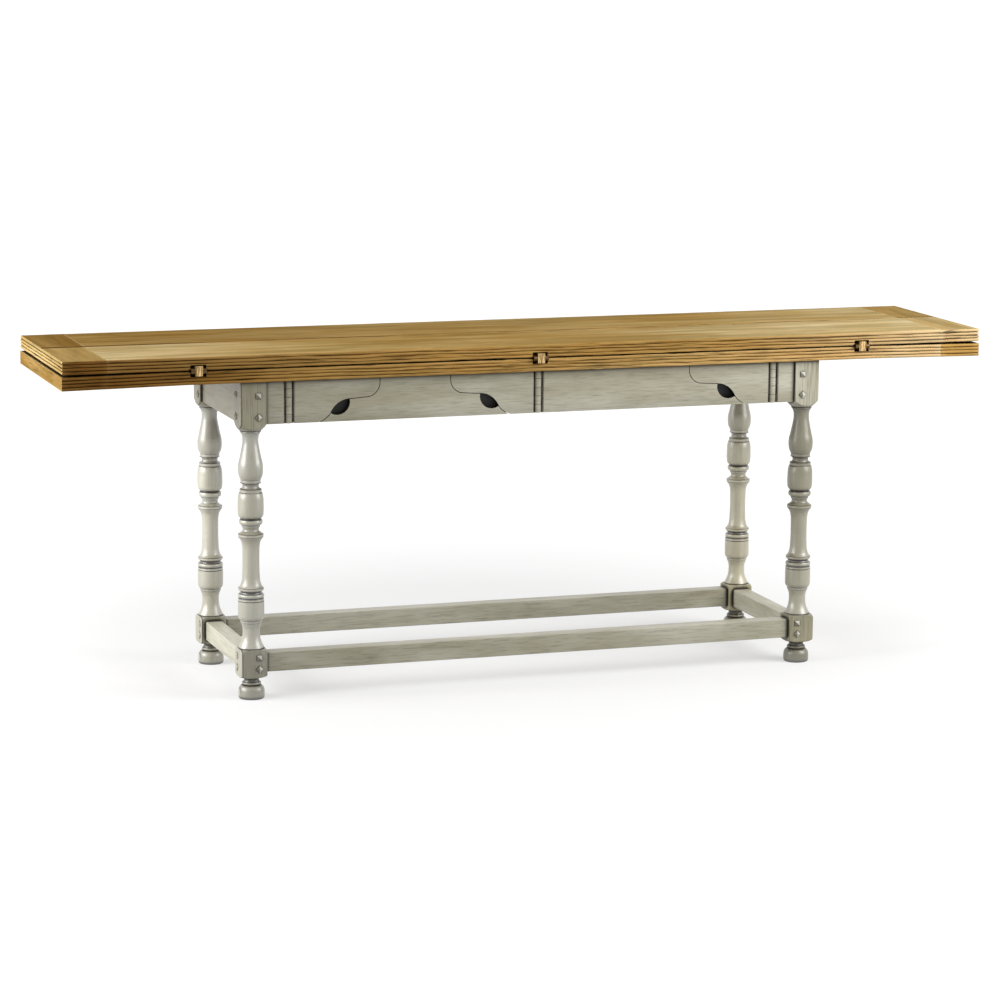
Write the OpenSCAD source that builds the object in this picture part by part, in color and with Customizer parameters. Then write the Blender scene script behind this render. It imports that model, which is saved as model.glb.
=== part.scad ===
// Refectory table whose top unfolds to twice its depth.
// Two leaves lie folded on the main top and turn over on three brass hinges each.
// An open leaf rests on three fly brackets, which swing out of the rail on wooden knuckle joints.
// The origin is on the floor under the middle of the top. X runs along the table, the front is at -Y.

/* [Table] */
// Height of the table with both leaves folded
table_h = 762; // [720:1:820]
// Length of the top
top_len = 2134; // [1920:1:2600]
// Depth of the top with both leaves folded
top_depth = 457; // [430:1:560]

/* [Top boards] */
// Thickness of the main top and of each leaf
board_thk = 29; // [24:0.5:36]
// Gap between the main top and a folded leaf
fold_gap = 2; // [1.4:0.1:4]
// Gap between the two folded leaves, and between an open leaf and the main top
seam = 1; // [0.6:0.1:3]
// Width of the clamp across each end of a board
clamp_w = 97; // [70:1:140]
// Number of reeds round the edge of a board
reeds = 4; // [3:1:5]
// Depth of the valleys between the reeds
reed_depth = 3.4; // [1:0.1:3.5]
// Thickness of the tongue that holds a clamp
tongue_thk = 9; // [6:0.5:12]
// Length of the tongue into the clamp
tongue_len = 16; // [8:1:30]
// Wood left uncut at each end of the tongue's groove
tongue_stop = 40; // [20:1:80]

/* [Leaf hinges] */
// Distance from the end of the top to the outer hinges
hinge_inset = 295; // [180:1:420]
// Width of a hinge along the edge of the top
hinge_w = 34; // [30:1:50]
// Width of the middle knuckle, which is squared
hinge_mid_w = 16; // [10:1:22]
// Height of the squared middle knuckle
hinge_block_h = 22.5; // [16:0.5:23]
// Diameter of the round outer knuckles
hinge_barrel_d = 12; // [9:0.5:13]
// Room round the hinge's axis that the boards are notched back to
hinge_room = 13; // [12.7:0.1:15]
// Diameter of the hinge pin
hinge_pin_d = 4; // [3:0.5:5]
// Reach of a hinge plate from the pin into the board
plate_len = 42; // [36:1:60]
// Thickness of a hinge plate
plate_thk = 2.5; // [2:0.1:3.5]
// Diameter of a wood screw
screw_d = 4; // [3:0.5:5]
// Diameter of a screw's countersunk head
screw_head_d = 8; // [7:0.5:10]
// Length of a hinge screw
screw_len = 20; // [12:1:22]

/* [Legs] */
// Width of the square posts
post_w = 58; // [52:1:70]
// Distance from the end of the top to the posts
end_overhang = 391; // [300:1:450]
// Distance from the long edge of the top to the posts
side_overhang = 17.5; // [14:0.5:40]
// Height of the square part at the top of a leg
post_h = 108.5; // [104:0.5:150]
// Height of the cone turned at that part's lower end
post_shoulder = 16; // [14:1:20]
// Height of the turned foot under the lower block
foot_h = 49; // [46:1:70]
// Height of the lower block
block_h = 63; // [60:1:90]
// Height of the turned shoulders of the lower block
block_shoulder = 9; // [5:1:11]
// Width of the eased arris of the posts, rails and stretchers
arris = 1.2; // [0.6:0.1:2.5]

/* [Rails] */
// Height of the rails under the top
rail_h = 95; // [86:0.5:100]
// Thickness of the outer rails, the end rails and the fly brackets
rail_thk = 22; // [18:0.5:24]
// Thickness of the inner rails behind them
inner_thk = 22; // [16:0.5:26]
// Distance that the rails stand back from the post faces
rail_setback = 6; // [3:0.5:9]
// Distance from a post to the knuckle joint beside it
stub_len = 52; // [40:1:90]
// Distance of the middle knuckle joint from the middle of the table, to the right
mid_x = 4; // [0:0.5:10]
// Width of the bearers that carry the main top between the inner rails
bearer_w = 50; // [40:1:80]
// Height of the bearers
bearer_h = 25; // [20:1:40]
// Distance from the middle bearer to the outer bearers
bearer_pitch = 400; // [300:1:460]
// Depth of the housings that hold the bearers' ends in the inner rails
housing = 10; // [5:1:12]

/* [Fly brackets] */
// Reach of a fly bracket from its knuckle joint to its tip
fly_len = 203.5; // [190:0.5:225]
// Radius of the round under the tip
tip_r = 30; // [20:1:32]
// Length of the straight end above that round
tip_drop = 13; // [8:1:14]
// Distance from the knuckle joint to the inner point of the finger hole
hole_near = 92; // [84:1:100]
// Distance from the knuckle joint to the outer point of the finger hole
hole_far = 136; // [128:1:150]
// Depth of the outer point of the finger hole under the top
hole_far_drop = 45.5; // [42:0.5:50]
// Depth of the inner point of the finger hole under the top
hole_near_drop = 76; // [70:0.5:80]
// Bow of the finger hole's upper edge, which the fly bracket has
hole_rise = 8; // [4:0.5:12]
// Bow of the finger hole's lower edge, which the rail has
hole_sag = 18.5; // [10:0.5:20]
// Distance from the knuckle joint to the end of the bracket's foot
tail_u = 65; // [50:1:72]
// Bow of the bracket's foot
tail_bow = 2.7; // [1:0.1:5]
// Saw kerf between a fly bracket and the rail
kerf = 1.6; // [1.4:0.1:3]
// Number of fingers in a knuckle joint
fingers = 5; // [3:2:7]
// Gap between two fingers
finger_gap = 0.8; // [0.2:0.05:1.2]
// Clearance round a finger in its scoop
scoop_gap = 2; // [0.3:0.1:2.5]
// Diameter of the steel pin in a knuckle joint
fly_pin_d = 5; // [4:0.5:8]
// Clearance of a fly bracket to the top above it and to the inner rail behind it
swing_gap = 0.5; // [0.35:0.05:1]

/* [Stretchers] */
// Width of the stretchers
stretcher_w = 38; // [32:1:46]
// Height of the stretchers
stretcher_h = 42; // [36:1:46]
// Height of the stretchers' centre above the floor
stretcher_z = 81; // [79:0.5:84]

/* [Joinery] */
// Thickness of the rail and stretcher tenons
tenon_thk = 8; // [6:0.5:10]
// Length of the rail tenons
tenon_len = 33; // [27:1:34]
// Length of the inner rails' tenons
inner_tenon_len = 20; // [12:1:22]
// Length of the stretcher tenons
foot_tenon_len = 29; // [26:1:31]
// Distance that a stretcher's tenons lie outside its centre
foot_tenon_out = 8; // [6:0.5:10]
// Shoulder above and below the rail tenons
tenon_shoulder = 10; // [6:0.5:14]
// Shoulder above and below the stretcher tenons
foot_tenon_shoulder = 3; // [2:0.5:5]
// Width of the square pegs
peg_w = 12; // [8:0.5:13]
// Length of a peg in the wood
peg_len = 28; // [26:1:30]
// Straight part of a peg's head outside the wood
peg_proud = 1; // [0.5:0.1:3]
// Height of the pyramid on a peg's head
peg_point = 3; // [2:0.1:6]
// Distance from the leg's axis to the pegs, towards the rail
peg_in = 11; // [9:0.5:13]
// Depth of the upper, square-set peg under the top
peg_drop_1 = 32; // [26:0.5:36]
// Depth of the lower peg of a post, set on its point, under the top
peg_drop_2 = 79; // [74:0.5:80]
// Distance of the pegs in a lower block from the stretcher's centre
peg_spread = 12.7; // [11:0.1:14]

/* [Clearances] */
// Clearance round a tenon, tongue, peg or screw
fit = 0.1; // [0.05:0.01:0.2]
// Radial clearance of a turning pin
run = 0.05; // [0.02:0.01:0.1]

/* [Hidden] */
$fn = 64;

// Colours
oak = [0.72, 0.61, 0.40];
limed = [0.66, 0.65, 0.58];
stained = [0.12, 0.12, 0.11];
brass = [0.62, 0.47, 0.26];
steel = [0.55, 0.55, 0.56];

// Heights of the top, from the leaves down
leaf_z1 = table_h;
leaf_z0 = leaf_z1 - board_thk;
main_z1 = leaf_z0 - fold_gap;
main_z0 = main_z1 - board_thk;
hinge_z = main_z1 + fold_gap / 2;
hinge_y = top_depth / 2 + seam / 2;
hinge_x = top_len / 2 - hinge_inset;
leaf_w = top_depth / 2 - seam / 2;
panel_x = top_len / 2 - clamp_w;
reed_pitch = board_thk / reeds;
reed_r = (pow(reed_pitch / 2, 2) + reed_depth * reed_depth) / (2 * reed_depth);

// Places of the legs
leg_x = top_len / 2 - end_overhang - post_w / 2;
leg_y = top_depth / 2 - side_overhang - post_w / 2;
post_face_x = leg_x + post_w / 2;
post_face_y = leg_y + post_w / 2;
post_in_x = leg_x - post_w / 2;
post_in_y = leg_y - post_w / 2;
post_z = main_z0 - post_h;
block_z1 = foot_h + block_h;

// Places of the rails and knuckle joints
rail_z1 = main_z0;
rail_z0 = rail_z1 - rail_h;
rail_y = post_face_y - rail_setback;
rail_x = post_face_x - rail_setback;
knuckle_r = rail_thk / 2;
knuckle_y = rail_y - knuckle_r;
inner_y1 = rail_y - rail_thk - swing_gap;
inner_y0 = inner_y1 - inner_thk;
fly_x = post_in_x - stub_len;
finger_h = rail_h / fingers;

// Straight margin of a cutting shape past the wood that it cuts
over = 5;

// Leg turning, from the floor up. A cut is the depth of the turning under the post's face.
function up(h, cut) = [post_w / 2 - cut, block_z1 + h];
function down(h, cut) = [post_w / 2 - cut, post_z - h];
function foot(h, cut) = [post_w / 2 - cut, foot_h - h];

// Smooth curve through the stations p
function curve(p, n = 4) = [
    for (i = [0:len(p) - 2], k = [0:n - 1])
        let (a = p[max(i - 1, 0)], b = p[i], c = p[i + 1], d = p[min(i + 2, len(p) - 1)], t = k / n)
            (2 * b + (c - a) * t + (2 * a - 5 * b + 4 * c - d) * t * t
                + (3 * b - a - 3 * c + d) * t * t * t) / 2,
    p[len(p) - 1]
];

// Half-round from p to q that stands out by s, or a cove where s is negative
function half_round(p, q, s, n = 8) = [
    for (k = [0:n]) let (a = 180 * k / n) (p + q) / 2 - cos(a) * (q - p) / 2 + [s * sin(a), 0]
];

foot_turning = concat(
    // Bun foot
    [foot(foot_h, 2.2)],
    curve([
        foot(foot_h - 2, 0.7), foot(foot_h - 6, 0.2), foot(36, 0.1), foot(28, 0.9), foot(22, 4), foot(19, 8)
    ]),
    // Bead, then the cove under the block
    half_round(foot(18.5, 10), foot(12, 10), 2),
    curve([foot(11.5, 11), foot(7, 12.7), foot(3, 10), foot(0, 3)])
);
lower_turning = concat(
    // Fillet and flared neck over the block
    [up(-2, 1.6), up(1.5, 1.6)],
    curve([
        up(1.6, 0.7), up(7, 3.4), up(15, 7), up(25, 9.5), up(36, 10.2), up(45, 9.9), up(51, 8.4), up(57, 6.4)
    ]),
    [up(57.5, 5.4), up(62, 5.4)],
    // Lower barrel with its scribed line and ring
    curve([up(62.5, 4.6), up(65, 2.7), up(68.5, 0.9), up(75, 0.4), up(91, 0.2), up(104.5, 0.4)]),
    [up(105.5, 1.6), up(106.5, 0.6), up(110.5, 0.8), up(111, 3.4)],
    // Bead, groove and collar
    half_round(up(112.5, 3.4), up(121.5, 3.4), 3),
    curve([up(122, 5.2), up(124.5, 6.4), up(127, 4.2), up(129.5, 1.4)]),
    [up(131, 0.8), up(134, 1)],
    curve([up(135, 2), up(138, 4.5), up(142, 6.8), up(148, 8.3), up(156, 9.5), up(168, 10.1)])
);
upper_turning = concat(
    // Long shaft up to the second collar
    curve([
        down(295, 10.6), down(262, 10.2), down(252, 9.3), down(246, 8.1), down(241.5, 6), down(238, 3.7),
        down(235, 1.5)
    ]),
    [down(233, 0.9), down(228.5, 1.1)],
    // Cove, fillet and bead
    curve([down(227.5, 2.6), down(224.5, 7), down(221, 10.6), down(217, 11.3), down(212.5, 9.6)]),
    [down(212, 8.7), down(208, 8.7)],
    half_round(down(207.5, 7), down(195.5, 7), 3.9),
    // Upper barrel and its ring
    curve([
        down(195, 7.6), down(191.5, 4.3), down(188, 1.7), down(183, 0.7), down(172, 0.2), down(159, 0.5),
        down(148, 1), down(139, 2.8)
    ]),
    [down(137.5, 3.6), down(136, 4.8), down(130, 4.8)],
    // Cove and fillet under the vase
    half_round(down(129, 5.8), down(116, 5.8), -5.4),
    [down(115, 7), down(109, 7)],
    // Vase, neck and the ring under the post
    curve([
        down(108, 6.4), down(99, 2.6), down(87, 1.3), down(75, 2), down(62, 5), down(50, 7.5), down(38, 9.9),
        down(28, 11.4), down(18, 11.4), down(12, 10.4), down(8, 8.6), down(5, 6.8)
    ]),
    half_round(down(4.6, 6.8), down(1.4, 6.8), 1.2),
    [down(1, 7.4), down(-2, 7.4)]
);

// Circular arc from p to q that stands out by s to the left of the line from p to q
function bow(p, q, s, n = 8) =
    let (c = norm(q - p), d = (q - p) / c, r = (c * c / 4 + s * s) / (2 * s), half = asin(c / (2 * r)))
        [for (k = [0:n]) let (a = half * (2 * k / n - 1))
            (p + q) / 2 + d * r * sin(a) + [-d.y, d.x] * (r * cos(a) - r + s)];

// Sawn line of a fly bracket in the plane of the rail, moved out by grow
hole_far_p = [hole_far, rail_z1 - hole_far_drop];
hole_near_p = [hole_near, rail_z1 - hole_near_drop];
tail_p = [tail_u, rail_z0];
tail_dir = (tail_p - hole_near_p) / norm(tail_p - hole_near_p);
tail_out = [-tail_dir.y, tail_dir.x];
function fly_outline(grow, z1) = concat(
    [[-2 * knuckle_r, z1], [fly_len + grow, z1]],
    [for (k = [0:8]) let (a = -90 * k / 8)
        [fly_len - tip_r + (tip_r + grow) * cos(a), rail_z1 - tip_drop + (tip_r + grow) * sin(a)]],
    bow(hole_far_p - [0, grow], hole_near_p + grow * tail_out, -hole_rise),
    bow(hole_near_p + grow * tail_out, tail_p + grow * tail_out, tail_bow, 5),
    [[tail_p.x + grow * tail_out.x, rail_z0 - over], [-2 * knuckle_r, rail_z0 - over]]
);
finger_hole = concat(bow(hole_far_p, hole_near_p, -hole_rise), bow(hole_near_p, hole_far_p, -hole_sag));

// Box between two corners, with room of grow round it
module box(a, b, grow = 0) {
    translate(a - [grow, grow, grow]) cube(b - a + 2 * grow * [1, 1, 1]);
}

module eased_square(w, h) {
    polygon([
        [-w / 2 + arris, -h / 2], [w / 2 - arris, -h / 2], [w / 2, -h / 2 + arris], [w / 2, h / 2 - arris],
        [w / 2 - arris, h / 2], [-w / 2 + arris, h / 2], [-w / 2, h / 2 - arris], [-w / 2, -h / 2 + arris]
    ]);
}

// Square peg along +Z out of the wood, with a pyramid on its head
module peg(grow = 0) {
    half = peg_w / 2 + grow;
    outline = [
        [-half, -peg_len - grow], [half, -peg_len - grow], [half, peg_proud],
        [0, peg_proud + peg_point], [-half, peg_proud]
    ];
    intersection() {
        rotate([90, 0, 0]) translate([0, 0, -peg_w]) linear_extrude(2 * peg_w) polygon(outline);
        rotate([90, 0, 90]) translate([0, 0, -peg_w]) linear_extrude(2 * peg_w) polygon(outline);
    }
}

// A pair of pegs in the front face and a pair in the end face of the front left leg
module peg_pairs(z_square, z_point, grow = 0) {
    for (level = [[z_square, 0], [z_point, 45]]) {
        translate([-leg_x + peg_in, -post_face_y, level[0]]) rotate([90, 0, 0])
            rotate(level[1]) peg(grow);
        translate([-post_face_x, -leg_y + peg_in, level[0]]) rotate([0, -90, 0])
            rotate(level[1]) peg(grow);
    }
}

module upper_peg_pairs(grow = 0) {
    peg_pairs(rail_z1 - peg_drop_1, rail_z1 - peg_drop_2, grow);
}

module lower_peg_pairs(grow = 0) {
    peg_pairs(stretcher_z + peg_spread, stretcher_z - peg_spread, grow);
}

// The same at all four corners
module corners() {
    for (mx = [0, 1], my = [0, 1]) mirror([mx, 0, 0]) mirror([0, my, 0]) children();
}

// Tenons in the front left leg, which also cut its mortises when they grow
module rail_tenon(grow = 0) {
    box(
        [-post_in_x - tenon_len, -knuckle_y - tenon_thk / 2, rail_z0 + tenon_shoulder],
        [-post_in_x + 1, -knuckle_y + tenon_thk / 2, rail_z1 - tenon_shoulder], grow
    );
}

module inner_tenon(grow = 0) {
    box(
        [-post_in_x - inner_tenon_len, -(inner_y0 + inner_y1 + tenon_thk) / 2, rail_z0 + tenon_shoulder],
        [-post_in_x + 1, -(inner_y0 + inner_y1 - tenon_thk) / 2, rail_z1 - tenon_shoulder], grow
    );
}

module end_tenon(grow = 0) {
    middle = rail_x - rail_thk / 2;
    box(
        [-middle - tenon_thk / 2, -post_in_y - tenon_len, rail_z0 + tenon_shoulder],
        [-middle + tenon_thk / 2, -post_in_y + 1, rail_z1 - tenon_shoulder], grow
    );
}

module long_foot_tenon(grow = 0) {
    middle = leg_y + foot_tenon_out;
    half_h = stretcher_h / 2 - foot_tenon_shoulder;
    box(
        [-post_in_x - foot_tenon_len, -middle - tenon_thk / 2, stretcher_z - half_h],
        [-post_in_x + 1, -middle + tenon_thk / 2, stretcher_z + half_h], grow
    );
}

module end_foot_tenon(grow = 0) {
    middle = leg_x + foot_tenon_out;
    half_h = stretcher_h / 2 - foot_tenon_shoulder;
    box(
        [-middle - tenon_thk / 2, -post_in_y - foot_tenon_len, stretcher_z - half_h],
        [-middle + tenon_thk / 2, -post_in_y + 1, stretcher_z + half_h], grow
    );
}

// Square block with shoulders turned off its corners
module lower_block() {
    neck = post_w / 2 - 0.5;
    corner = post_w / sqrt(2);
    high_shoulder = block_shoulder + 2;
    turned = concat(
        [[0, foot_h]],
        [for (k = [0:8]) let (a = 90 * k / 8)
            [neck + (corner - neck) * sin(a), foot_h + block_shoulder * (1 - cos(a))]],
        [for (k = [8:-1:0]) let (a = 90 * k / 8)
            [neck + (corner - neck) * sin(a), block_z1 - high_shoulder * (1 - cos(a))]],
        [[0, block_z1]]
    );
    intersection() {
        translate([0, 0, foot_h - over]) linear_extrude(block_h + 2 * over) eased_square(post_w, post_w);
        rotate_extrude() polygon(turned);
    }
}

// Square post, its lower end turned to a cone
module post_block() {
    corner = post_w / sqrt(2);
    intersection() {
        translate([0, 0, post_z - over]) linear_extrude(post_h + 2 * over) eased_square(post_w, post_w);
        rotate_extrude() polygon([
            [0, post_z], [corner - post_shoulder, post_z], [corner, post_z + post_shoulder],
            [corner, main_z0], [0, main_z0]
        ]);
    }
}

module leg() {
    core = post_w / 2 - 9;
    color(limed) difference() {
        translate([-leg_x, -leg_y, 0]) union() {
            rotate_extrude() polygon(concat(
                [[0, 0]], foot_turning, [foot(-2, 3), [core, foot_h + 2], [core, block_z1 - 2]],
                lower_turning, upper_turning, [[0, post_z + 2]]
            ));
            lower_block();
            post_block();
        }
        rail_tenon(fit);
        inner_tenon(fit);
        end_tenon(fit);
        long_foot_tenon(fit);
        end_foot_tenon(fit);
        upper_peg_pairs(fit);
        lower_peg_pairs(fit);
    }
}

module end_rail() {
    color(limed) difference() {
        union() {
            box([-rail_x, -post_in_y, rail_z0], [-rail_x + rail_thk, post_in_y, rail_z1]);
            for (my = [0, 1]) mirror([0, my, 0]) end_tenon();
        }
        for (my = [0, 1]) mirror([0, my, 0]) upper_peg_pairs(fit);
    }
}

module inner_rail() {
    color(stained) difference() {
        union() {
            box([-post_in_x, -inner_y1, rail_z0], [post_in_x, -inner_y0, rail_z1]);
            for (mx = [0, 1]) mirror([mx, 0, 0]) inner_tenon();
        }
        for (x = [-bearer_pitch, 0, bearer_pitch]) bearer_blank(x, fit);
    }
}

module long_stretcher() {
    color(limed) difference() {
        union() {
            translate([-post_in_x, -leg_y, stretcher_z]) rotate([90, 0, 90])
                linear_extrude(2 * post_in_x) eased_square(stretcher_w, stretcher_h);
            for (mx = [0, 1]) mirror([mx, 0, 0]) long_foot_tenon();
        }
        for (mx = [0, 1]) mirror([mx, 0, 0]) lower_peg_pairs(fit);
    }
}

module end_stretcher() {
    color(limed) difference() {
        union() {
            translate([-leg_x, post_in_y, stretcher_z]) rotate([90, 0, 0])
                linear_extrude(2 * post_in_y) eased_square(stretcher_w, stretcher_h);
            for (my = [0, 1]) mirror([0, my, 0]) end_foot_tenon();
        }
        for (my = [0, 1]) mirror([0, my, 0]) lower_peg_pairs(fit);
    }
}

module bearer_blank(x, grow = 0) {
    box(
        [x - bearer_w / 2, -inner_y0 - housing, rail_z1 - bearer_h],
        [x + bearer_w / 2, inner_y0 + housing, rail_z1], grow
    );
}

// Countersunk screw whose head is flush at z = 0 and whose point is down
module screw(length, grow = 0) {
    head = screw_head_d / 2;
    shank = screw_d / 2;
    difference() {
        rotate_extrude() polygon([
            [0, grow], [head + grow, grow], [head + grow, 0], [shank + grow, shank - head],
            [shank + grow, -length + shank], [0, -length - grow]
        ]);
        if (grow == 0) translate([-head, -0.5, -1]) cube([2 * head, 1, 2]);
    }
}

// Two screws hold each bearer to the main top from below
module bearer_screws_at(x, grow = 0) {
    for (y = [-inner_y0 / 2, inner_y0 / 2])
        translate([x, y, rail_z1 - bearer_h]) rotate([180, 0, 0]) screw(bearer_h + board_thk * 0.6, grow);
}

module bearer(x) {
    color(limed) difference() {
        bearer_blank(x);
        bearer_screws_at(x, fit);
    }
}

// Frame of a knuckle joint: x along the board from the pin, y across it towards the inside
module at_knuckle(x, side) {
    translate([x, -knuckle_y, 0]) mirror([side < 0 ? 1 : 0, 0, 0]) children();
}

// Board of the rail that ends in the fingers of a knuckle joint. Its end is cut back at 45 degrees
// from the pin on both faces, so that its mate can turn square to it, and is scooped for the
// fingers of its mate.
module knuckled_board(own, length, back) {
    far = knuckle_r + back;
    difference() {
        union() {
            difference() {
                translate([0, 0, rail_z0]) linear_extrude(rail_h) polygon([
                    [scoop_gap, 0], [far + scoop_gap, far], [length, far],
                    [length, -knuckle_r], [knuckle_r + scoop_gap, -knuckle_r]
                ]);
                for (k = [1 - own:2:fingers - 1])
                    translate([0, 0, rail_z0 + k * finger_h - finger_gap / 2])
                        cylinder(r = knuckle_r + scoop_gap, h = finger_h + finger_gap);
            }
            for (k = [own:2:fingers - 1])
                translate([0, 0, rail_z0 + k * finger_h + (k == 0 ? 0 : finger_gap / 2)])
                    cylinder(
                        r = knuckle_r,
                        h = finger_h - (k == 0 || k == fingers - 1 ? 0.5 : 1) * finger_gap
                    );
        }
        translate([0, 0, rail_z0 - over]) cylinder(d = fly_pin_d + 2 * run, h = rail_h + 2 * over);
    }
}

// Cuts a shape of the rail's plane through the whole rail
module through_rail() {
    translate([0, 2 * rail_thk, 0]) rotate([90, 0, 0]) linear_extrude(4 * rail_thk) children();
}

// Room that a fly bracket, the kerf round it and its finger hole take out of the rail
module fly_room(x, side) {
    at_knuckle(x, side) through_rail() {
        polygon(fly_outline(kerf, rail_z1 + over));
        polygon(finger_hole);
    }
}

module fly(x, side) {
    color(limed) at_knuckle(x, side) intersection() {
        knuckled_board(1, fly_len + over, 0);
        through_rail() polygon(fly_outline(0, rail_z1 - swing_gap));
    }
}

module fly_pins() {
    color(steel) for (x = [-fly_x, mid_x, fly_x])
        translate([x, -knuckle_y, rail_z0]) cylinder(d = fly_pin_d, h = rail_h - 1);
}

// Short fixed piece between a post and a knuckle joint
module rail_stub(side) {
    color(limed) mirror([side < 0 ? 0 : 1, 0, 0]) difference() {
        union() {
            at_knuckle(-fly_x, -1) knuckled_board(0, stub_len, swing_gap);
            rail_tenon();
        }
        upper_peg_pairs(fit);
    }
}

// Fixed piece between the left and the middle fly bracket
module rail_middle() {
    color(limed) difference() {
        box([-fly_x, -rail_y, rail_z0], [mid_x, -inner_y1, rail_z1]);
        fly_room(-fly_x, 1);
        fly_room(mid_x, -1);
    }
}

// Fixed piece from the middle knuckle joint to the right fly bracket
module rail_right() {
    color(limed) difference() {
        at_knuckle(mid_x, 1) knuckled_board(0, fly_x - mid_x, swing_gap);
        fly_room(fly_x, -1);
    }
}

// Section of a board of width w and of the board's thickness, reeded on both edges
module reeded_section(w) {
    intersection() {
        union() {
            translate([-w / 2 + reed_r, -over]) square([w - 2 * reed_r, board_thk + 2 * over]);
            for (side = [-1, 1], k = [0:reeds - 1])
                translate([side * (w / 2 - reed_r), reed_pitch * (k + 0.5)]) circle(reed_r);
        }
        translate([-w / 2 - over, 0]) square([w + 2 * over, board_thk]);
    }
}

module panel_blank(y, w, z) {
    difference() {
        translate([-panel_x - tongue_len, y, z]) rotate([90, 0, 90])
            linear_extrude(2 * (panel_x + tongue_len)) reeded_section(w);
        for (mx = [0, 1]) mirror([mx, 0, 0]) difference() {
            box(
                [-panel_x - tongue_len - over, y - w / 2 - over, z - over],
                [-panel_x, y + w / 2 + over, z + board_thk + over]
            );
            tongue(y, w, z);
        }
    }
}

module tongue(y, w, z, grow = 0) {
    middle = z + board_thk / 2;
    box(
        [-panel_x - tongue_len, y - w / 2 + tongue_stop, middle - tongue_thk / 2],
        [-panel_x + over, y + w / 2 - tongue_stop, middle + tongue_thk / 2], grow
    );
}

// Clamp across the left end, reeded on its front and back edges and sawn square at its outer end
module clamp(y, w, z) {
    color(oak) difference() {
        translate([-top_len / 2, y, z]) rotate([90, 0, 90]) linear_extrude(clamp_w) reeded_section(w);
        tongue(y, w, z, fit);
    }
}

module at_hinges() {
    for (x = [-hinge_x, 0, hinge_x]) translate([x, -hinge_y, hinge_z]) children();
}

// The rest of a hinge is drawn on the main top's side, under its axis, with y into the board.
// A leaf's half is the same upside down.
module hinge_cut() {
    box(
        [-hinge_w / 2 - 0.5, -over - hinge_barrel_d, -hinge_room],
        [hinge_w / 2 + 0.5, hinge_room, fold_gap]
    );
    box(
        [-hinge_w / 2 - fit, 0, -fold_gap / 2 - plate_thk],
        [hinge_w / 2 + fit, plate_len + fit, fold_gap]
    );
    plate_screws(fit);
}

module plate_screws(grow = 0) {
    near = hinge_room + screw_head_d / 2 + 2;
    far = plate_len - screw_head_d / 2 - 2;
    for (place = [[-hinge_w / 4, near], [hinge_w / 4, near], [0, far]])
        translate([place.x, place.y, -fold_gap / 2]) screw(screw_len, grow);
}

module plate_blank(x0, x1, y0) {
    box([x0, y0, -fold_gap / 2 - plate_thk], [x1, plate_len, -fold_gap / 2]);
}

// Plate with the two round outer knuckles
module outer_plate() {
    mid = hinge_mid_w / 2 + 0.3;
    color(brass) difference() {
        union() {
            plate_blank(-hinge_w / 2, hinge_w / 2, hinge_room);
            for (side = [0, 1]) mirror([side, 0, 0]) {
                plate_blank(mid, hinge_w / 2, 0);
                translate([mid, 0, 0]) rotate([0, 90, 0])
                    cylinder(d = hinge_barrel_d, h = hinge_w / 2 - mid);
            }
        }
        pin_bore();
        plate_screws(fit);
    }
}

// Plate with the squared middle knuckle
module middle_plate() {
    half_w = hinge_mid_w / 2;
    color(brass) difference() {
        union() {
            plate_blank(-hinge_w / 2, hinge_w / 2, hinge_room);
            plate_blank(-half_w, half_w, 0);
            rotate([90, 0, 90]) translate([0, 0, -half_w])
                linear_extrude(hinge_mid_w) eased_square(hinge_barrel_d, hinge_block_h);
        }
        pin_bore();
        plate_screws(fit);
    }
}

module pin_bore() {
    rotate([0, 90, 0]) translate([0, 0, -hinge_w])
        cylinder(d = hinge_pin_d + 2 * run, h = 2 * hinge_w);
}

module hinge_pins() {
    color(brass) at_hinges() rotate([0, 90, 0]) translate([0, 0, -hinge_w / 2])
        cylinder(d = hinge_pin_d, h = hinge_w);
}

module upside_down() {
    mirror([0, 0, 1]) children();
}

module main_panel() {
    color(oak) difference() {
        panel_blank(0, top_depth, main_z0);
        for (turn = [0, 180]) rotate(turn) at_hinges() hinge_cut();
        for (x = [-bearer_pitch, 0, bearer_pitch]) bearer_screws_at(x, fit);
    }
}

module leaf_panel() {
    color(oak) difference() {
        panel_blank(-(leaf_w + seam) / 2, leaf_w, leaf_z0);
        at_hinges() upside_down() hinge_cut();
    }
}

// Clamp of a leaf, which is reeded at its outer end too, with mitred corners
module leaf_clamp() {
    color(oak) intersection() {
        clamp(-(leaf_w + seam) / 2, leaf_w, leaf_z0);
        translate([0, over - seam / 2, leaf_z0]) rotate([90, 0, 0])
            linear_extrude(leaf_w + 2 * over) reeded_section(top_len);
    }
}

module mirrored() {
    mirror([1, 0, 0]) children();
}

module turned_round() {
    rotate(180) children();
}

leg();  // leg_front_left
mirrored() leg();  // leg_front_right
turned_round() mirrored() leg();  // leg_back_left
turned_round() leg();  // leg_back_right
end_rail();  // end_rail_left
mirrored() end_rail();  // end_rail_right
inner_rail();  // inner_rail_front
turned_round() inner_rail();  // inner_rail_back
long_stretcher();  // stretcher_front
turned_round() long_stretcher();  // stretcher_back
end_stretcher();  // stretcher_left
mirrored() end_stretcher();  // stretcher_right
rail_stub(-1);  // front_rail_stub_left
rail_middle();  // front_rail_middle
rail_right();  // front_rail_right
rail_stub(1);  // front_rail_stub_right
turned_round() rail_stub(-1);  // back_rail_stub_right
turned_round() rail_middle();  // back_rail_middle
turned_round() rail_right();  // back_rail_left
turned_round() rail_stub(1);  // back_rail_stub_left
fly(-fly_x, 1);  // fly_front_left
fly(mid_x, -1);  // fly_front_middle
fly(fly_x, -1);  // fly_front_right
turned_round() fly(-fly_x, 1);  // fly_back_right
turned_round() fly(mid_x, -1);  // fly_back_middle
turned_round() fly(fly_x, -1);  // fly_back_left
fly_pins();  // fly_pins_front
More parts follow.
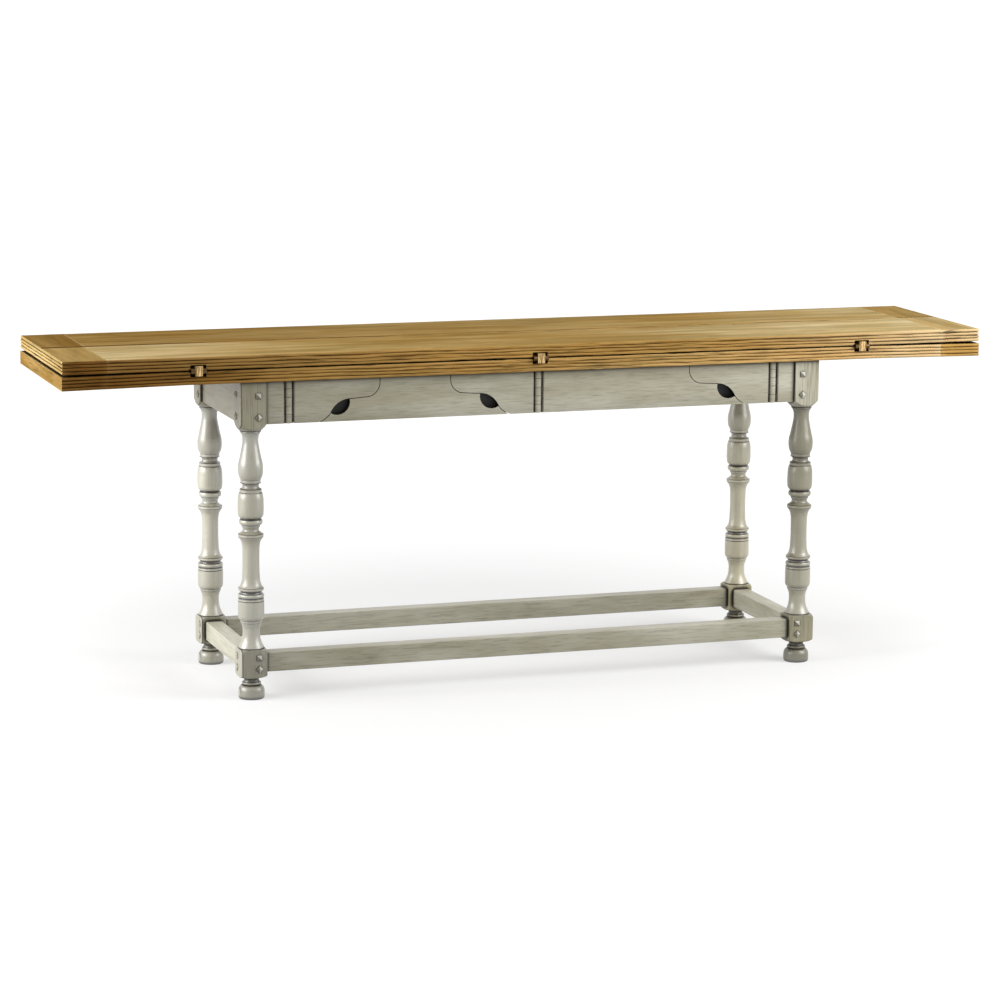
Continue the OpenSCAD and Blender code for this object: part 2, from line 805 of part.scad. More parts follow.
turned_round() fly_pins();  // fly_pins_back
color(limed) corners() upper_peg_pairs();  // upper_pegs
color(limed) corners() lower_peg_pairs();  // lower_pegs
bearer(-bearer_pitch);  // bearer_left
bearer(0);  // bearer_middle
bearer(bearer_pitch);  // bearer_right
color(steel)  // bearer_screws
    for (x = [-bearer_pitch, 0, bearer_pitch]) bearer_screws_at(x);
main_panel();  // main_top_panel
clamp(0, top_depth, main_z0);  // main_top_clamp_left
mirrored() clamp(0, top_depth, main_z0);  // main_top_clamp_right
leaf_panel();  // front_leaf_panel
leaf_clamp();  // front_leaf_clamp_left
mirrored() leaf_clamp();  // front_leaf_clamp_right
turned_round() leaf_panel();  // back_leaf_panel
turned_round() mirrored() leaf_clamp();  // back_leaf_clamp_left
turned_round() leaf_clamp();  // back_leaf_clamp_right
at_hinges() outer_plate();  // hinge_plates_front
turned_round() at_hinges() outer_plate();  // hinge_plates_back
at_hinges() upside_down() middle_plate();  // leaf_plates_front
turned_round() at_hinges() upside_down() middle_plate();  // leaf_plates_back
hinge_pins();  // hinge_pins_front
turned_round() hinge_pins();  // hinge_pins_back
color(brass) at_hinges() plate_screws();  // hinge_screws_front
color(brass) turned_round() at_hinges() plate_screws();  // hinge_screws_back
color(brass) at_hinges() upside_down() plate_screws();  // leaf_screws_front
color(brass)  // leaf_screws_back
    turned_round() at_hinges() upside_down() plate_screws();
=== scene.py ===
import math

import bpy
from mathutils import Matrix, Vector


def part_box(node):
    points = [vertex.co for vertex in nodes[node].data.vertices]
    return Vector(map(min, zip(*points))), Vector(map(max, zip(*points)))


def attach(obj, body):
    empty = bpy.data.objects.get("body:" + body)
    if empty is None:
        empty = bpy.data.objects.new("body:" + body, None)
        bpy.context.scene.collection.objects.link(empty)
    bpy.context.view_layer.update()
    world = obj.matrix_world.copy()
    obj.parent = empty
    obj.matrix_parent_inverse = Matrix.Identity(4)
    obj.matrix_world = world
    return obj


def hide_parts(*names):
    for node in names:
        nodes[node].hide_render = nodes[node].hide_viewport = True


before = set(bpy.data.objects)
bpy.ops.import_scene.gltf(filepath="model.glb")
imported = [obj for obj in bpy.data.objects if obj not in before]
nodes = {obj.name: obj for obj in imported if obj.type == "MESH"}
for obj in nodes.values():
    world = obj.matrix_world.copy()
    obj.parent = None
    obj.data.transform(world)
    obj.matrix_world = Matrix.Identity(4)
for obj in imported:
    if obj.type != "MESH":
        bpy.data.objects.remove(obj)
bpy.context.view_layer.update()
bpy.ops.object.select_all(action="DESELECT")

# The view: a long lens, a little left of the table's middle and above its top, looking slightly down.
# The angles and the place were found from the corners of the top, the posts and the feet.
eye = Vector((-2.5350, -7.4142, 1.7664))
yaw, pitch, roll = math.radians(18.777), math.radians(10.062), math.radians(0.461)
focal_pixels, picture_width = 3494.0, 1000

forward = Vector((math.sin(yaw) * math.cos(pitch), math.cos(yaw) * math.cos(pitch), -math.sin(pitch)))
level = Vector((math.cos(yaw), -math.sin(yaw), 0))
upright = level.cross(forward)
right = math.cos(roll) * level + math.sin(roll) * upright
up = math.cos(roll) * upright - math.sin(roll) * level
bpy.ops.object.camera_add()
camera = bpy.context.object
camera.name = "camera"
camera.matrix_world = Matrix.Translation(eye) @ Matrix((right, up, -forward)).transposed().to_4x4()
camera.data.sensor_width = 36
camera.data.lens = focal_pixels / picture_width * camera.data.sensor_width
camera.data.clip_end = 60
bpy.context.scene.camera = camera


# Legs: turned oak posts, limed grey-green and rubbed with a dark glaze that stays in the hollows, which
# painted shade darkens too.
# The grain runs up the leg. The turned parts are polished, and the square ones are left dull.
def add_node(material, kind, inputs=(), **settings):
    node = material.node_tree.nodes.new(kind)
    for key, value in settings.items():
        setattr(node, key, value)
    for key, value in dict(inputs).items():
        if isinstance(value, bpy.types.NodeSocket):
            material.node_tree.links.new(value, node.inputs[key])
        else:
            node.inputs[key].default_value = value
    return node


def new_material(name):
    material = bpy.data.materials.new(name)
    material.use_nodes = True
    return material, material.node_tree.nodes["Principled BSDF"]


def along_grain(material, along, stretch, shift=(0, 0, 0)):
    # Object coordinates, drawn out along the grain
    place = add_node(material, "ShaderNodeTexCoord").outputs["Object"]
    scale = [1 / stretch if axis == along else 1 for axis in "XYZ"]
    drawn_out = {"Vector": place, "Location": shift, "Scale": scale}
    return add_node(material, "ShaderNodeMapping", drawn_out).outputs[0]


def noise(material, place, scale, detail=4, rough=0.6):
    return add_node(
        material, "ShaderNodeTexNoise",
        {"Vector": place, "Scale": scale, "Detail": detail, "Roughness": rough},
    ).outputs["Fac"]


def spread(material, value, low, high, to_low=0, to_high=1):
    return add_node(
        material, "ShaderNodeMapRange",
        {"Value": value, "From Min": low, "From Max": high, "To Min": to_low, "To Max": to_high},
    ).outputs[0]


def mix(material, share, first, second, blend="MIX"):
    node = material.node_tree.nodes.new("ShaderNodeMix")
    node.data_type = "RGBA"
    node.blend_type = blend
    for socket, value in ((node.inputs[0], share), (node.inputs[6], first), (node.inputs[7], second)):
        if isinstance(value, bpy.types.NodeSocket):
            material.node_tree.links.new(value, socket)
        else:
            socket.default_value = value
    return node.outputs[2]


def tint(material, colour, factor, share=1):
    return mix(material, share, colour, factor, "MULTIPLY")


def reckon(material, operation, *values):
    return add_node(material, "ShaderNodeMath", dict(enumerate(values)), operation=operation).outputs[0]


def times(material, first, second):
    return reckon(material, "MULTIPLY", first, second)


def object_place(material):
    place = add_node(material, "ShaderNodeTexCoord").outputs["Object"]
    return add_node(material, "ShaderNodeSeparateXYZ", {0: place}).outputs


def object_facing(material):
    facing = add_node(material, "ShaderNodeTexCoord").outputs["Normal"]
    return add_node(material, "ShaderNodeSeparateXYZ", {0: facing}).outputs


def openness(material, reach, samples):
    # 1 on an open face, and less in hollows and by edges within the reach
    shade = add_node(material, "ShaderNodeAmbientOcclusion", {"Distance": reach}, samples=samples)
    return shade.outputs["AO"]


def stepped(material, value, steps):
    # A grey that changes evenly along the value: each step is a place and the grey there
    steps = list(steps)
    low, high = steps[0][0], steps[-1][0]
    ramp = add_node(material, "ShaderNodeValToRGB", {"Fac": spread(material, value, low, high)})
    stops = ramp.color_ramp.elements
    for number, (spot, grey) in enumerate(steps):
        spot = (spot - low) / (high - low)
        stop = stops[0] if number == 0 else stops[-1] if number == len(steps) - 1 else stops.new(spot)
        stop.position = spot
        stop.color = (grey, grey, grey, 1)
    return ramp.outputs["Color"]


lime, thick_lime_and_light = (0.425, 0.400, 0.290, 1), (0.590, 0.570, 0.460, 1)
glaze_and_shade, dregs_and_shade = (0.075, 0.060, 0.036, 1), (0.016, 0.012, 0.007, 1)


def limed_wood(name, along, tone, dirt_and_shade=None, fine_grain=(34, 520), nooks=(0.0095, 0.95, 0.66)):
    # tone gives each part of a piece its colour, with painted light and shade, and its share of fine grain,
    # and the dirt function adds the piece's own dirt and painted shade
    material, shader = new_material(name)
    place = object_place(material)
    stretch, scale = fine_grain
    fine = noise(material, along_grain(material, along, stretch), scale, 3)
    streaks = noise(material, along_grain(material, along, 30, (3, 1, 2)), 190, 5)
    clouds = noise(material, along_grain(material, along, 4, (1, 5, 2)), 14, 3)
    colour = mix(material, spread(material, clouds, 0.36, 0.64), lime, thick_lime_and_light)
    colour = mix(material, spread(material, streaks, 0.54, 0.78, 0, 0.34), colour, glaze_and_shade)
    colour, fine_share = tone(material, place, colour)
    fine_share = times(material, spread(material, fine, 0.50, 0.76, 0, 0.46), fine_share)
    colour = mix(material, fine_share, colour, glaze_and_shade)

    # Glaze and painted shade darken the wide hollows and the corners between parts, and dregs of glaze with
    # painted shade fill the nooks
    reach, clean, filled = nooks
    hollows = spread(material, openness(material, 0.016, 6), 0.86, 0.40, 0, 0.66)
    colour = mix(material, hollows, colour, glaze_and_shade)
    dregs_and_shade_share = spread(material, openness(material, reach, 8), clean, filled, 0, 0.97)
    colour = mix(material, dregs_and_shade_share, colour, dregs_and_shade)
    if dirt_and_shade:
        colour = dirt_and_shade(material, place, colour)
    material.node_tree.links.new(colour, shader.inputs["Base Color"])
    bump = add_node(material, "ShaderNodeBump", {"Height": fine, "Strength": 0.25, "Distance": 0.0006})
    material.node_tree.links.new(bump.outputs[0], shader.inputs["Normal"])
    shader.inputs["Roughness"].default_value = 0.40
    shader.inputs["Specular IOR Level"].default_value = 0.28
    shader.inputs["Coat Weight"].default_value = 0.15
    shader.inputs["Coat Roughness"].default_value = 0.25
    return material


# The floor, the foot's top, the block's foot and top, the turning's foot, middle and top, and the post
leg_heights = (0, 0.049, 0.052, 0.110, 0.116, 0.400, 0.590, 0.598, 0.800)
outer_side = -0.6750


def up_the_leg(material, place, greys):
    return stepped(material, place["Z"], zip(leg_heights, greys))


def leg_tone_and_shade(material, place, colour):
    # The left legs, and the right ones' posts, are paler than the right ones' turning, and the back legs
    # paler than the front ones
    left = up_the_leg(material, place, (0.58, 0.58, 0.66, 0.65, 0.72, 0.84, 0.62, 0.68, 0.68))
    left = tint(material, left, spread(material, place["Y"], -0.1, 0.1, 1, 1.22))
    left = tint(material, left, (1.0, 0.97, 0.88, 1), spread(material, place["Z"], 0.590, 0.598))
    right = up_the_leg(material, place, (0.32, 0.32, 0.74, 0.5769, 0.56, 0.50, 0.36, 1.08, 1.08))
    right = tint(material, right, spread(material, place["Y"], -0.1, 0.1, 1, 1.70))
    right = tint(material, right, (1.05, 1.0, 0.80, 1), spread(material, place["Z"], 0.598, 0.590, 0, 0.8))
    colour = tint(material, colour, mix(material, spread(material, place["X"], -0.1, 0.1), left, right))

    # Painted shadow darkens the posts' outer sides under the overhanging top, and painted light makes the
    # blocks' outer sides paler
    side = spread(material, place["X"], outer_side + 0.0005, outer_side - 0.0005)
    post_side_shadow = times(material, side, spread(material, place["Z"], 0.56, 0.61, 0, 0.24))
    colour = mix(material, post_side_shadow, colour, glaze_and_shade)
    block_side_light = times(material, side, spread(material, place["Z"], 0.13, 0.12, 0, 0.55))
    colour = mix(material, block_side_light, colour, thick_lime_and_light)

    # The square parts show their grain, and a dark line runs along their outer edges
    squareness = up_the_leg(material, place, (0.6, 1.7, 1.7, 1.7, 0.40, 0.40, 0.40, 1.9, 1.9))
    corner = reckon(material, "COMPARE", place["X"], outer_side + 0.0013, 0.0010)
    corner = times(material, corner, spread(material, squareness, 0.8, 1.2, 0, 0.8))
    return mix(material, corner, colour, dregs_and_shade), squareness


def turning_dirt(material, place, colour):
    # Thin lines of dirt stay in the quirks of the turning
    post_foot, block_head, foot_head, line_reach = 0.5935, 0.1120, 0.0490, 0.0007
    quirks = [post_foot - drop for drop in (
        0.0010, 0.0048, 0.1085, 0.1158, 0.1295, 0.1368, 0.1953, 0.2080, 0.2279, 0.2340)]
    quirks += [block_head + rise for rise in (0.0016, 0.0573, 0.0622, 0.1057, 0.1118, 0.1222, 0.1346)]
    quirks += [foot_head - drop for drop in (0.0010, 0.0116, 0.0189)]
    lines = 0
    for quirk in quirks:
        lines = reckon(material, "MAXIMUM", lines, reckon(material, "COMPARE", place["Z"], quirk, line_reach))
    return mix(material, times(material, lines, 0.85), colour, dregs_and_shade)


def polish_turning(material):
    # The upper turning of the right front leg is duller than the rest
    shader = material.node_tree.nodes["Principled BSDF"]
    place = object_place(material)
    polish = up_the_leg(material, place, (1, 0.15, 0.15, 0.15, 1, 1, 1, 0.15, 0.15))
    dull = times(material, spread(material, place["X"], 0, 0.1), spread(material, place["Z"], 0.20, 0.55))
    dull = times(material, dull, spread(material, place["Y"], 0.1, -0.1))
    polish = times(material, polish, spread(material, dull, 0, 1, 1, 0.4))
    material.node_tree.links.new(polish, shader.inputs["Coat Weight"])
    shader.inputs["Coat IOR"].default_value = 2.2
    shader.inputs["Coat Roughness"].default_value = 0.40


def finish_nodes(names, material):
    for name in names:
        nodes[name].data.materials.clear()
        nodes[name].data.materials.append(material)


limed_upright = limed_wood("limed_upright", "Z", leg_tone_and_shade, turning_dirt, nooks=(0.0080, 0.97, 0.74))
polish_turning(limed_upright)
legs = [f"leg_{side}_{end}" for side in ("front", "back") for end in ("left", "right")]
finish_nodes(legs, limed_upright)

# Rails and stretchers: the same limed oak, with the grain along each of them, tenoned into the legs.
# The fly brackets are sawn out of the same boards as the rails, and the bearers lie between the rails.
rail_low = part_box("front_rail_middle")[0]
rail_face, rail_foot = -rail_low.y, rail_low.z


def rail_shade(material, place, colour):
    # Painted shade makes rails and stretchers a little darker at their left ends, and rails along their lower
    # edges, and painted light makes the rails' upper parts a little paler
    along_the_rail = ((-0.65, 0.86), (-0.25, 1.00), (0.65, 0.99))
    up_the_rail = ((0.5, 1.00), (0.598, 1.00), (0.606, 0.88), (0.640, 1.08), (0.8, 1.08))
    colour = tint(material, colour, stepped(material, place["X"], along_the_rail))
    return tint(material, colour, stepped(material, place["Z"], up_the_rail)), 1


def end_shade_and_light(material, place, colour):
    # Painted shadow makes the end rails, under the overhanging top, darker and warmer than the stretchers,
    # which painted light makes paler
    colour = tint(material, colour, (1.02, 0.985, 0.88, 1), spread(material, place["Z"], 0.3, 0.5))
    return tint(material, colour, spread(material, place["Z"], 0.3, 0.5, 1.12, 0.71)), 1


def sawn_glaze_and_shade(material, place, colour):
    # The sawn faces behind the face of a rail or a bracket are left dark with glaze and painted shade, but
    # not its lower edge
    depth = reckon(material, "ABSOLUTE", place["Y"])
    shade_behind = spread(material, depth, rail_face - 0.0007, rail_face - 0.0015)
    above = spread(material, place["Z"], rail_foot + 0.0012, rail_foot + 0.0020)
    facing = reckon(material, "ABSOLUTE", object_facing(material)["Y"])
    shade_behind = times(material, shade_behind, spread(material, facing, 0.68, 0.55))
    return mix(material, times(material, shade_behind, above), colour, dregs_and_shade)


board_grain = (16, 390)
limed_along = limed_wood("limed_along", "X", rail_shade, fine_grain=board_grain)
limed_sawn = limed_wood("limed_sawn", "X", rail_shade, sawn_glaze_and_shade, fine_grain=board_grain)
limed_across = limed_wood("limed_across", "Y", end_shade_and_light)
long_rails = [n for n in nodes if n.startswith(("front_rail", "back_rail"))]
brackets = [n for n in nodes if n.startswith("fly_") and "pins" not in n]
finish_nodes(["stretcher_front", "stretcher_back"], limed_along)
cross_rails = ["end_rail_left", "end_rail_right", "stretcher_left", "stretcher_right"]
bearers = ["bearer_left", "bearer_middle", "bearer_right"]
finish_nodes(long_rails + brackets, limed_sawn)
finish_nodes(cross_rails + bearers, limed_across)

# Pegs: square oak pegs with pyramid heads, limed with the posts they are driven into.
# On the front and back, painted shade lies on the left and lower facets, and a painted highlight on the right
# and upper ones.
limed_peg = limed_upright.copy()
limed_peg.name = "limed_peg"
peg_colour = limed_peg.node_tree.nodes["Principled BSDF"].inputs["Base Color"]
facing = object_facing(limed_peg)
slant = reckon(limed_peg, "MULTIPLY_ADD", facing["Z"], 0.5, facing["X"])
facet_light_and_shade = mix(limed_peg, spread(limed_peg, slant, -0.12, 0.12), (0.07, 0.06, 0.042, 1), (0.80, 0.79, 0.73, 1))
towards = spread(limed_peg, reckon(limed_peg, "ABSOLUTE", facing["Y"]), 0.55, 0.65, 0, 0.50)
facet_light_and_shade = mix(limed_peg, towards, peg_colour.links[0].from_socket, facet_light_and_shade)
limed_peg.node_tree.links.new(facet_light_and_shade, peg_colour)
finish_nodes(["upper_pegs", "lower_pegs"], limed_peg)

# Inner rails: oak boards screwed behind the aprons. They are stained nearly black, so that the finger
# They are coloured nearly black as painted shade, so that the finger holes in front of them look dark.
shade_oak, shade_oak_shader = new_material("stained_oak")
shade_oak_grain = noise(shade_oak, along_grain(shade_oak, "X", 25), 500)
shade_oak_share = spread(shade_oak, shade_oak_grain, 0.4, 0.7)
shade_oak_colour = mix(shade_oak, shade_oak_share, (0.010, 0.010, 0.009, 1), (0.030, 0.029, 0.026, 1))
shade_oak.node_tree.links.new(shade_oak_colour, shade_oak_shader.inputs["Base Color"])
shade_oak_shader.inputs["Roughness"].default_value = 0.55
finish_nodes(["inner_rail_front", "inner_rail_back"], shade_oak)

# Top boards: the main top and two leaves, of brushed and waxed oak. Each is a panel with its grain along
# the table, and a clamp tongued across each end with its grain from front to back.
# Their edges are planed into four reeds, which are worn uneven between the outer hinges.
panel_end, board_end = -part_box("main_top_clamp_left")[1].x, -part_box("main_top_clamp_left")[0].x
reeds, reed_depth = 4, 0.0034
reed_turns = [math.radians(turn) for turn in (-60, -30, 0, 30, 60, 90)]
column, wide_column = 0.008, 0.028
arris_ring = 0.004


def reeded_board(name, low, high, open_end, reeded_end):
    # open_end is -1 or 1 for the clamp across that end, and 0 for a panel between two clamps
    length, width, thickness = high - low
    ends = int(reeded_end)
    joint = Vector((high.x if open_end < 0 else low.x, (low.y + high.y) / 2, low.z))
    bpy.ops.mesh.primitive_grid_add(
        size=1, location=((low.x + high.x) / 2, joint.y, low.z),
        x_subdivisions=round(length / column),
        y_subdivisions=round(width / (column if open_end else wide_column)),
    )
    piece = bpy.context.object
    piece.name = name
    bpy.ops.object.mode_set(mode="EDIT")
    bpy.ops.transform.resize(value=(length, width, 1))

    def draw_in(before, after):
        share_along = (length - ends * after) / (length - ends * before)
        share_across = (width - 2 * after) / (width - 2 * before)
        bpy.ops.transform.resize(value=(share_along, share_across, 1), center_override=joint)

    draw_in(0, reed_depth)
    recess, height = reed_depth, 0
    for reed in range(reeds):
        for turn in reed_turns:
            next_recess = reed_depth * (1 - math.cos(turn))
            next_height = thickness / reeds * (reed + (1 + math.sin(turn)) / 2)
            rise = (0, 0, next_height - height)
            bpy.ops.mesh.extrude_region_move(TRANSFORM_OT_translate={"value": rise})
            draw_in(recess, next_recess)
            recess, height = next_recess, next_height
    bpy.ops.mesh.inset(thickness=arris_ring)
    bpy.ops.mesh.select_all(action="SELECT")
    bpy.ops.mesh.normals_make_consistent(inside=False)
    bpy.ops.object.mode_set(mode="OBJECT")
    bpy.ops.object.transform_apply(location=True, rotation=True, scale=True)
    return piece


# The reeds wander up and down, are planed to an uneven depth, and lose bits of their arris
wear_texture = bpy.data.textures.new("wear", "CLOUDS")
wear_texture.noise_scale = 1
wear_texture.noise_depth = 2
wear_texture.contrast = 1.6
wear_texture.use_clamp = True


def weigh(piece, name, weight):
    group = piece.vertex_groups.new(name=name)
    for vertex in piece.data.vertices:
        share = weight(vertex.co)
        if share > 0:
            group.add([vertex.index], share, "REPLACE")


def wear(piece, group, direction, depth, middle, grain_size, tilt=0):
    # The pattern starts at another place for the panel and each clamp, by the length of their names
    start = (0.37 * len(piece.name), 0.11, 0.05)
    bpy.ops.object.empty_add(location=start, rotation=(0, math.radians(tilt), 0))
    guide = bpy.context.object
    guide.scale = grain_size
    bpy.context.view_layer.update()
    bpy.context.view_layer.objects.active = piece
    push = piece.modifiers.new(group, "DISPLACE")
    push.vertex_group = group
    push.direction = direction
    push.strength = depth
    push.mid_level = middle
    push.texture = wear_texture
    push.texture_coords = "OBJECT"
    push.texture_coords_object = guide
    bpy.ops.object.modifier_apply(modifier=push.name)
    bpy.data.objects.remove(guide)


def wear_edges(piece, low, high, open_end, reeded_end):
    reach = reed_depth + 0.0005
    end_x = high.x if open_end > 0 else low.x
    worn_to, fades_over, joint_reach = 0.42, 0.36, 0.01

    def worn(place):
        out = min(1, max(0, (abs(place.x) - worn_to) / fades_over))
        by_joint = min(1, abs(abs(place.x) - panel_end) / joint_reach)
        return (1 - 0.75 * out) * by_joint

    def on_edge(place):
        at_end = reeded_end and abs(place.x - end_x) < reach
        return place.y < low.y + reach or place.y > high.y - reach or at_end

    def height_share(place):
        return (place.z - low.z) / (high.z - low.z)

    weigh(piece, "drift", lambda p: worn(p) * math.sin(math.pi * height_share(p)) if on_edge(p) else 0)
    weigh(piece, "front", lambda p: worn(p) if p.y < low.y + reach else 0)
    weigh(piece, "back", lambda p: worn(p) if p.y > high.y - reach else 0)
    weigh(piece, "arris", lambda p: worn(p) if on_edge(p) and height_share(p) > 0.99 else 0)
    wear(piece, "drift", "Z", 0.0040, 0.5, (0.16, 0.02, 0.014), 0.4)
    wear(piece, "front", "Y", 0.0044, 0, (0.070, 0.02, 0.0055), 1.2)
    wear(piece, "back", "Y", -0.0044, 0, (0.070, 0.02, 0.0055), -0.8)
    wear(piece, "arris", "Z", -0.0032, 0, (0.045, 0.02, 0.02))
    if reeded_end:
        weigh(piece, "end", lambda p: 0.35 if abs(p.x - end_x) < reach else 0)
        wear(piece, "end", "X", -open_end * 0.0044, 0, (0.02, 0.07, 0.0055))


# Notches for the knuckles, and shallow recesses for the plates, are cut where each hinge lies
hinge_width = 0.034
notch_width, notch_out, notch_in, notch_height = 0.0350, 0.0200, 0.0130, 0.0130
recess_width, recess_in, recess_height = 0.0342, 0.0421, 0.0035
hinge_low, hinge_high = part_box("hinge_pins_front")
hinge_y, hinge_z = (hinge_low.y + hinge_high.y) / 2, (hinge_low.z + hinge_high.z) / 2
outer_hinge = hinge_high.x - hinge_width / 2


def cutter(width, y_out, y_in, height):
    # A block at each of the six hinges, which reaches y_out outwards and y_in inwards from its pin
    blocks = []
    for side in (1, -1):
        for x in (-outer_hinge, 0, outer_hinge):
            middle = side * (hinge_y + (y_in - y_out) / 2)
            bpy.ops.mesh.primitive_cube_add(size=1, location=(x, middle, hinge_z))
            bpy.context.object.scale = (width, y_in + y_out, 2 * height)
            blocks.append(bpy.context.object)
    for block in blocks:
        block.select_set(True)
    bpy.ops.object.join()
    bpy.ops.object.transform_apply(location=True, rotation=True, scale=True)
    return bpy.context.object


notch_cutter = cutter(notch_width, notch_out, notch_in, notch_height)
recess_cutter = cutter(recess_width, 0, recess_in, recess_height)


def cut_hinges(piece):
    bpy.context.view_layer.objects.active = piece
    for block in (notch_cutter, recess_cutter):
        cut = piece.modifiers.new("cut", "BOOLEAN")
        cut.object = block
        cut.operation = "DIFFERENCE"
        cut.solver = "EXACT"
        bpy.ops.object.modifier_apply(modifier=cut.name)


# The overhanging ends of the main top have sunk a little, so the gap under the leaves opens there
sag, sag_start = 0.0033, 0.800


def sink_ends(piece):
    weigh(piece, "sag", lambda p: max(0, (abs(p.x) - sag_start) / (board_end - sag_start)))
    bpy.context.view_layer.objects.active = piece
    sink = piece.modifiers.new("sag", "DISPLACE")
    sink.vertex_group = "sag"
    sink.direction = "Z"
    sink.strength = -sag
    sink.mid_level = 0
    bpy.ops.object.modifier_apply(modifier=sink.name)


old_wax_and_shade, grime_and_shade = (0.045, 0.022, 0.007, 1), (0.016, 0.008, 0.002, 1)


def bleached_and_lit(material, place, tones, shares):
    # The shares say, at even steps from the left end to the right one, how far the wood has gone from deep to
    # pale, by bleaching and by painted light and shade
    along_board = spread(material, place["X"], -panel_end, panel_end)
    ramp = add_node(material, "ShaderNodeValToRGB", {"Fac": along_board})
    stops = ramp.color_ramp.elements
    deep, golden, pale = tones
    last = len(shares) - 1
    for step, share in enumerate(shares):
        stop = stops[0] if step == 0 else stops[-1] if step == last else stops.new(step / last)
        tone = deep.lerp(golden, 2 * share) if share < 0.5 else golden.lerp(pale, 2 * share - 1)
        stop.color = (*tone, 1)
    return ramp.outputs["Color"]


def edge_dirt_and_shade(material, place, lines, wood, colour, hollow_share, gap_share):
    # The valleys between the reeds hold old wax and painted shade, and the crests are rubbed pale and given a
    # painted highlight
    hollow = add_node(material, "ShaderNodeVertexColor", layer_name="hollows").outputs["Color"]
    rubbed_crest_and_highlight = tint(material, wood, (1.25, 1.30, 1.45, 1))
    colour = mix(material, spread(material, hollow, 0.46, 0.16, 0, hollow_share), colour, old_wax_and_shade)
    colour = mix(material, spread(material, hollow, 0.62, 0.78, 0, 0.6), colour, rubbed_crest_and_highlight)

    # Grime and painted shade lie in the valleys too, less where the edge is worn, and painted shade lies most
    # in the gap between the boards
    nook = openness(material, 0.0065, 8)
    away = reckon(material, "ABSOLUTE", place["X"])
    kept = spread(material, away, 0.45, 0.80, 0.38 * gap_share, 0.85 * gap_share)
    valley_grime_and_shade = spread(material, reckon(material, "SUBTRACT", nook, lines), 0.34, 0.02)
    colour = mix(material, times(material, valley_grime_and_shade, kept), colour, grime_and_shade)
    height = reckon(material, "ABSOLUTE", reckon(material, "SUBTRACT", place["Z"], hinge_z))
    gap_shade = times(material, spread(material, height, 0.0042, 0.0026), spread(material, nook, 0.85, 0.60))
    return mix(material, gap_shade, colour, grime_and_shade)


def face_marks_and_shade(material, place, clouds, colour):
    # Old wax and painted shade lie in the seam between the leaves, and a pale line runs along the clamps'
    # joints and ends
    sway = spread(material, clouds, 0.3, 0.7, -0.0025, 0.0025)
    seam = reckon(material, "ADD", reckon(material, "ABSOLUTE", place["Y"]), sway)
    on_leaf = spread(material, place["Z"], hinge_z, hinge_z + 0.0010, 0, 0.88)
    colour = mix(material, times(material, spread(material, seam, 0.0095, 0.0055), on_leaf), colour, old_wax_and_shade)
    out = reckon(material, "ABSOLUTE", place["X"])
    joint = reckon(material, "COMPARE", out, panel_end, 0.0007)
    end = spread(material, out, board_end - 0.0035, board_end - 0.0020)
    pale_line = times(material, reckon(material, "MAXIMUM", joint, end), 0.60)
    colour = mix(material, pale_line, colour, (0.72, 0.56, 0.32, 1))

    # The faces that lie on each other when the leaves are closed get painted shade
    return mix(material, spread(material, openness(material, 0.02, 4), 0.70, 0.40, 0, 0.95), colour, grime_and_shade)


def oak(name, along, tones, shares, line_share, edge_shares=None):
    # A reeded edge or end has its shares of wax and painted shade in the valleys and of grime and painted
    # shade by the gap, and a face has none
    material, shader = new_material(name)
    place = object_place(material)
    wood = bleached_and_lit(material, place, tones, shares)
    rings = noise(material, along_grain(material, along, 12, (2, 7, 1)), 32, 6, 0.62)
    pores = noise(material, along_grain(material, along, 36, (5, 3, 2)), 900, 4)
    lines = noise(material, along_grain(material, along, 22, (9, 1, 4)), 240, 3, 0.55)
    clouds = noise(material, along_grain(material, along, 3, (1, 2, 3)), 9, 3)
    dark_rings, dark_patches = spread(material, rings, 0.40, 0.60), spread(material, clouds, 0.40, 0.60)
    figure = mix(material, dark_rings, (1.17, 1.15, 1.14, 1), (0.83, 0.81, 0.73, 1))
    patches = mix(material, dark_patches, (1.10, 1.12, 1.18, 1), (0.96, 0.88, 0.74, 1))
    colour = tint(material, wood, tint(material, figure, patches))
    colour = mix(material, spread(material, pores, 0.52, 0.75, 0, 0.30), colour, old_wax_and_shade)
    colour = mix(material, spread(material, lines, 0.56, 0.68, 0, line_share), colour, old_wax_and_shade)
    if edge_shares:
        colour = edge_dirt_and_shade(material, place, lines, wood, colour, *edge_shares)
    else:
        colour = face_marks_and_shade(material, place, clouds, colour)
    material.node_tree.links.new(colour, shader.inputs["Base Color"])
    bump = add_node(material, "ShaderNodeBump", {"Height": pores, "Strength": 0.35, "Distance": 0.0007})
    material.node_tree.links.new(bump.outputs[0], shader.inputs["Normal"])
    shader.inputs["Roughness"].default_value = 0.6
    shader.inputs["Specular IOR Level"].default_value = 0
    return material


# Deep, golden and pale oak, and how far each board has gone from deep to pale, from left to right, by
# bleaching and by painted light and shade
face_tones = Vector((0.285, 0.172, 0.050)), Vector((0.470, 0.325, 0.122)), Vector((0.720, 0.600, 0.350))
edge_tones = Vector((0.205, 0.100, 0.024)), Vector((0.550, 0.335, 0.100)), Vector((0.690, 0.505, 0.265))
leaf_edges = {"edge": (0.12, 0.30, 0.42, 0.36, 0.95), "clamp_edge": (0.03, 0.95), "end": (0.58, 0.55)}
bleaching_and_light = {
    "main_top": {
        "face": (0.35, 0.35), "clamp": (0.35, 0.35),
        "edge": (0.00, 0.38, 0.58, 0.60, 0.95), "clamp_edge": (0.00, 0.44), "end": (0.12, 0.20),
    },
    "front_leaf": {"face": (0.80, 0.50, 0.40, 0.66, 1.00), "clamp": (0.38, 0.72), **leaf_edges},
    "back_leaf": {"face": (0.14, 0.20, 0.30, 0.46, 0.76), "clamp": (0.02, 0.38), **leaf_edges},
}


